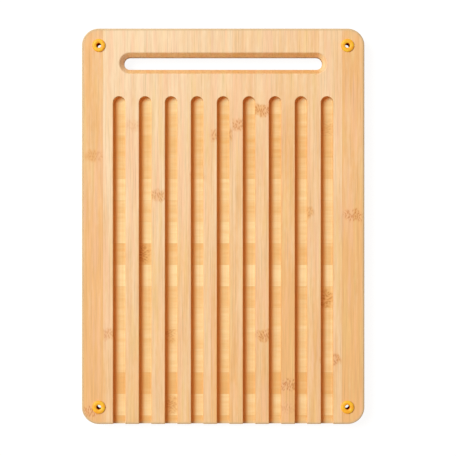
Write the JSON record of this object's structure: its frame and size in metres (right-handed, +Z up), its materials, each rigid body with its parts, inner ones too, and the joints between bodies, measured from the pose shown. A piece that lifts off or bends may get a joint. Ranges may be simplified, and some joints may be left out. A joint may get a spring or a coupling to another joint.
{
  "type": "bread board",
  "caption": "Rectangular laminated bamboo bread board with lengthwise crumb grooves, a long chamfered handle slot and round eyelet feet in its corners.",
  "frame": {"origin": "centre of the rectangle that the board covers, on the surface that its four feet stand on", "axes": "+Z up, out of the grooved face; +Y along the board towards the handle slot; +X to the right, seen from above with the slot at the far end"},
  "size_m": [0.25, 0.35, 0.021],
  "materials": {
    "bamboo_lengthwise": "pale oiled bamboo, grain along the board, satin",
    "bamboo_crosswise": "pale oiled bamboo, grain across the board, satin",
    "silicone": "smooth yellow-orange silicone rubber"
  },
  "bodies": {
    "root": {"back_stave_01": "bamboo_lengthwise", "back_stave_02": "bamboo_lengthwise", "back_stave_03": "bamboo_lengthwise", "back_stave_04": "bamboo_lengthwise", "back_stave_05": "bamboo_lengthwise", "back_stave_06": "bamboo_lengthwise", "back_stave_07": "bamboo_lengthwise", "back_stave_08": "bamboo_lengthwise", "back_stave_09": "bamboo_lengthwise", "back_stave_10": "bamboo_lengthwise", "back_stave_11": "bamboo_lengthwise", "back_stave_12": "bamboo_lengthwise", "back_stave_13": "bamboo_lengthwise", "back_stave_ends": "bamboo_lengthwise", "core_stave_01": "bamboo_crosswise", "core_stave_02": "bamboo_crosswise", "core_stave_03": "bamboo_crosswise", "core_stave_04": "bamboo_crosswise", "core_stave_05": "bamboo_crosswise", "core_stave_06": "bamboo_crosswise", "core_stave_07": "bamboo_crosswise", "core_stave_08": "bamboo_crosswise", "core_stave_09": "bamboo_crosswise", "core_stave_10": "bamboo_crosswise", "core_stave_11": "bamboo_crosswise", "core_stave_12": "bamboo_crosswise", "core_stave_13": "bamboo_crosswise", "core_stave_14": "bamboo_crosswise", "core_stave_15": "bamboo_crosswise", "core_stave_16": "bamboo_crosswise", "core_stave_17": "bamboo_crosswise", "core_stave_18": "bamboo_crosswise", "core_stave_19": "bamboo_crosswise", "face_stave_01": "bamboo_lengthwise", "face_stave_02": "bamboo_lengthwise", "face_stave_03": "bamboo_lengthwise", "face_stave_04": "bamboo_lengthwise", "face_stave_05": "bamboo_lengthwise", "face_stave_06": "bamboo_lengthwise", "face_stave_07": "bamboo_lengthwise", "face_stave_08": "bamboo_lengthwise", "face_stave_09": "bamboo_lengthwise", "face_stave_10": "bamboo_lengthwise", "face_stave_11": "bamboo_lengthwise", "face_stave_12": "bamboo_lengthwise", "face_stave_13": "bamboo_lengthwise", "face_stave_ends": "bamboo_lengthwise", "foot_near_left": "silicone", "foot_near_right": "silicone", "foot_far_left": "silicone", "foot_far_right": "silicone"}
  },
  "joints": []
}
